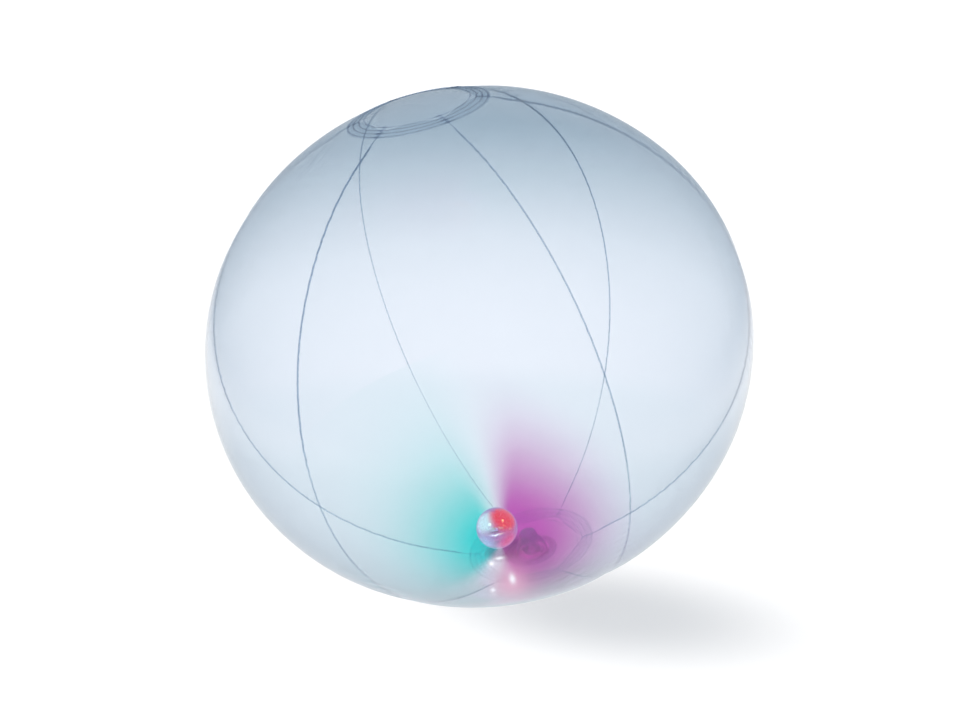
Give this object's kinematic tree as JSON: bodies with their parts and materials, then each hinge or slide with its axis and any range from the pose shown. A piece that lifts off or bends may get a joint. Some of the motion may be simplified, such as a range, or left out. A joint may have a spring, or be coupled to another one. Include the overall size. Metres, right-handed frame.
{
  "type": "inflatable beach ball",
  "caption": "Clear inflatable beach ball of welded film gores and end caps, with a push-in valve and a loose battery light unit sealed inside.",
  "frame": {"origin": "centre of the outer face of the valve flange, which the ball stands on, on the line through the two end caps", "axes": "+Z runs from the valve up through the plain end cap; -Y faces the side seen first, +X is to its right"},
  "size_m": [0.3, 0.3, 0.2817],
  "materials": {
    "film": "clear soft vinyl film, glossy, faint blue-grey tint",
    "cap_film": "the same film, welded in rings",
    "valve_vinyl": "thicker clear vinyl, moulded, slightly milky",
    "capsule": "clear hard moulded plastic, polished",
    "carrier": "white moulded plastic",
    "board": "green circuit board with a satin coating",
    "led_red": "red tinted epoxy lens, lit",
    "led_green": "blue-green tinted epoxy lens, lit",
    "led_blue": "blue tinted epoxy lens, lit",
    "tinned": "tinned copper and solder",
    "chip_blob": "black potting resin over the chip",
    "resistor": "black chip resistor",
    "plated_brass": "thin plated brass",
    "spring_wire": "plated spring wire",
    "cell": "nickel-plated steel can",
    "gasket": "dark nylon ring"
  },
  "bodies": {
    "ball": {"gore_1": "film", "gore_2": "film", "gore_3": "film", "gore_4": "film", "gore_5": "film", "gore_6": "film", "top_cap": "cap_film", "bottom_cap": "cap_film", "valve_flange": "valve_vinyl", "valve_diaphragm": "valve_vinyl"},
    "stem": {"valve_stem": "valve_vinyl", "valve_strap": "valve_vinyl"},
    "plug": {"valve_plug": "valve_vinyl"},
    "flap": {"valve_flap": "valve_vinyl"},
    "light_unit": {"capsule_bottom": "capsule", "capsule_top": "capsule", "carrier": "carrier", "circuit_board": "board", "led_red": "led_red", "led_green": "led_green", "led_blue": "led_blue", "led_leads": "tinned", "chip_blob": "chip_blob", "resistors": "resistor", "switch_post": "plated_brass", "cell_1": "cell", "cell_2": "cell", "cell_3": "cell", "cell_gaskets": "gasket", "contact_positive": "plated_brass", "contact_negative": "plated_brass", "solder_joints": "tinned"},
    "shake_spring": {"switch_spring": "spring_wire"}
  },
  "joints": [
    {"name": "unit_roll", "type": "hinge", "parent": "ball", "child": "light_unit", "pos_m": [0, 0, 0.14092], "axis": [-0.8387, 0.5446, 0], "continuous": true},
    {"name": "spring_sway", "type": "hinge", "parent": "light_unit", "child": "shake_spring", "pos_m": [-0.01671, 0.00559, 0.01841], "axis": [1, 0, 0], "range_deg": [-7, 7], "stiffness_Nm_per_rad": 0.000003},
    {"name": "valve_push", "type": "slide", "parent": "ball", "child": "stem", "axis": [0, 0, -1], "range_m": [0, 0.024], "deforming": ["valve_diaphragm"]},
    {"name": "plug_pull", "type": "slide", "parent": "stem", "child": "plug", "axis": [0, 0, -1], "range_m": [0, 0.008], "deforming": ["valve_strap"]},
    {"name": "flap_open", "type": "hinge", "parent": "stem", "child": "flap", "pos_m": [0.0031, -0.00201, 0.0142], "axis": [0.5446, 0.8387, 0], "range_deg": [0, 50], "stiffness_Nm_per_rad": 0.000005, "springref_deg": -17.19}
  ]
}
